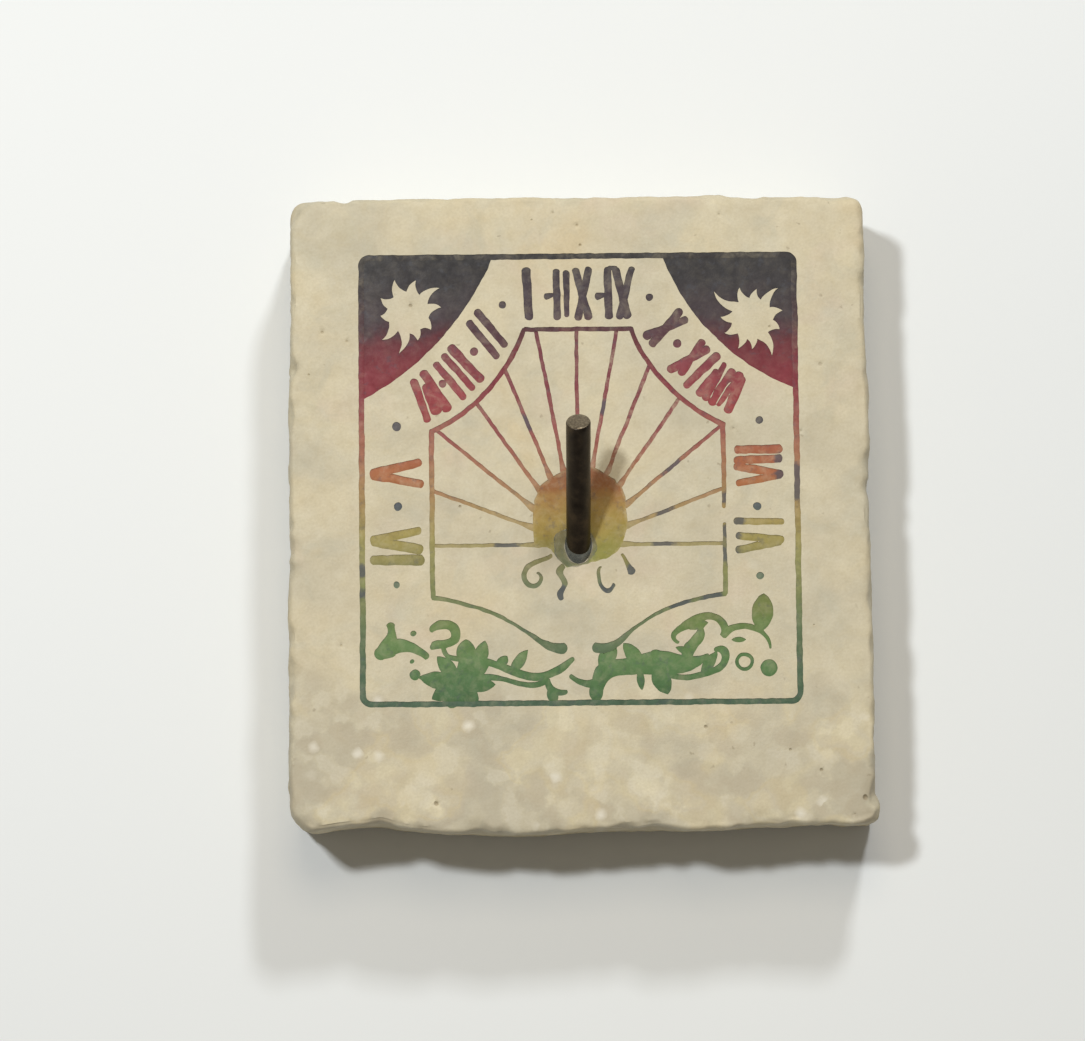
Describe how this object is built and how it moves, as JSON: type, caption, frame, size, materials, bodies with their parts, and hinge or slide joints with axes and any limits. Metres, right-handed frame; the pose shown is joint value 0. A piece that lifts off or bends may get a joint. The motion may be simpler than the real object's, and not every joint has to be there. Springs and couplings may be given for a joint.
{
  "type": "pocket sundial",
  "caption": "Small stone tile with a colour-filled vertical sundial face and an inclined metal rod as its gnomon.",
  "frame": {"origin": "middle of the flat back face of the tile, on the surface it rests on", "axes": "+Z out of the dial face, +Y towards the noon numeral, +X towards the morning hours"},
  "size_m": [0.051, 0.056, 0.0214],
  "materials": {
    "stone": "matte, tumbled",
    "rod_metal": "dark, lightly worn",
    "clear_adhesive": "clear, glossy",
    "paint_blend": "matte colour, blended along the dial",
    "paint_night": "matte colour",
    "paint_slate": "matte colour",
    "paint_plum": "matte colour",
    "paint_crimson": "matte colour",
    "paint_orange": "matte colour",
    "paint_sun": "matte colour",
    "paint_olive": "matte colour",
    "paint_green": "matte colour"
  },
  "bodies": {
    "root": {"corner_sky_left": "paint_night", "corner_sky_right": "paint_night", "gnomon_adhesive": "clear_adhesive", "gnomon_rod": "rod_metal", "hour_dots": "paint_slate", "hour_line_01_pm": "paint_crimson", "hour_line_02_pm": "paint_crimson", "hour_line_03_pm": "paint_crimson", "hour_line_04_pm": "paint_orange", "hour_line_05_pm": "paint_olive", "hour_line_06_am": "paint_olive", "hour_line_06_pm": "paint_olive", "hour_line_07_am": "paint_olive", "hour_line_08_am": "paint_orange", "hour_line_09_am": "paint_crimson", "hour_line_10_am": "paint_crimson", "hour_line_11_am": "paint_crimson", "hour_line_12_noon": "paint_crimson", "inner_border": "paint_blend", "numeral_I": "paint_slate", "numeral_II": "paint_plum", "numeral_III": "paint_crimson", "numeral_IIII": "paint_crimson", "numeral_IX": "paint_crimson", "numeral_V": "paint_orange", "numeral_VII": "paint_orange", "numeral_VIII": "paint_crimson", "numeral_VI_evening": "paint_olive", "numeral_VI_morning": "paint_olive", "numeral_X": "paint_plum", "numeral_XI": "paint_slate", "numeral_XII": "paint_slate", "outer_border": "paint_blend", "stone_slab": "stone", "sun_curls": "paint_olive", "sun_disc": "paint_sun", "vine_left": "paint_green", "vine_right": "paint_green"}
  },
  "joints": []
}
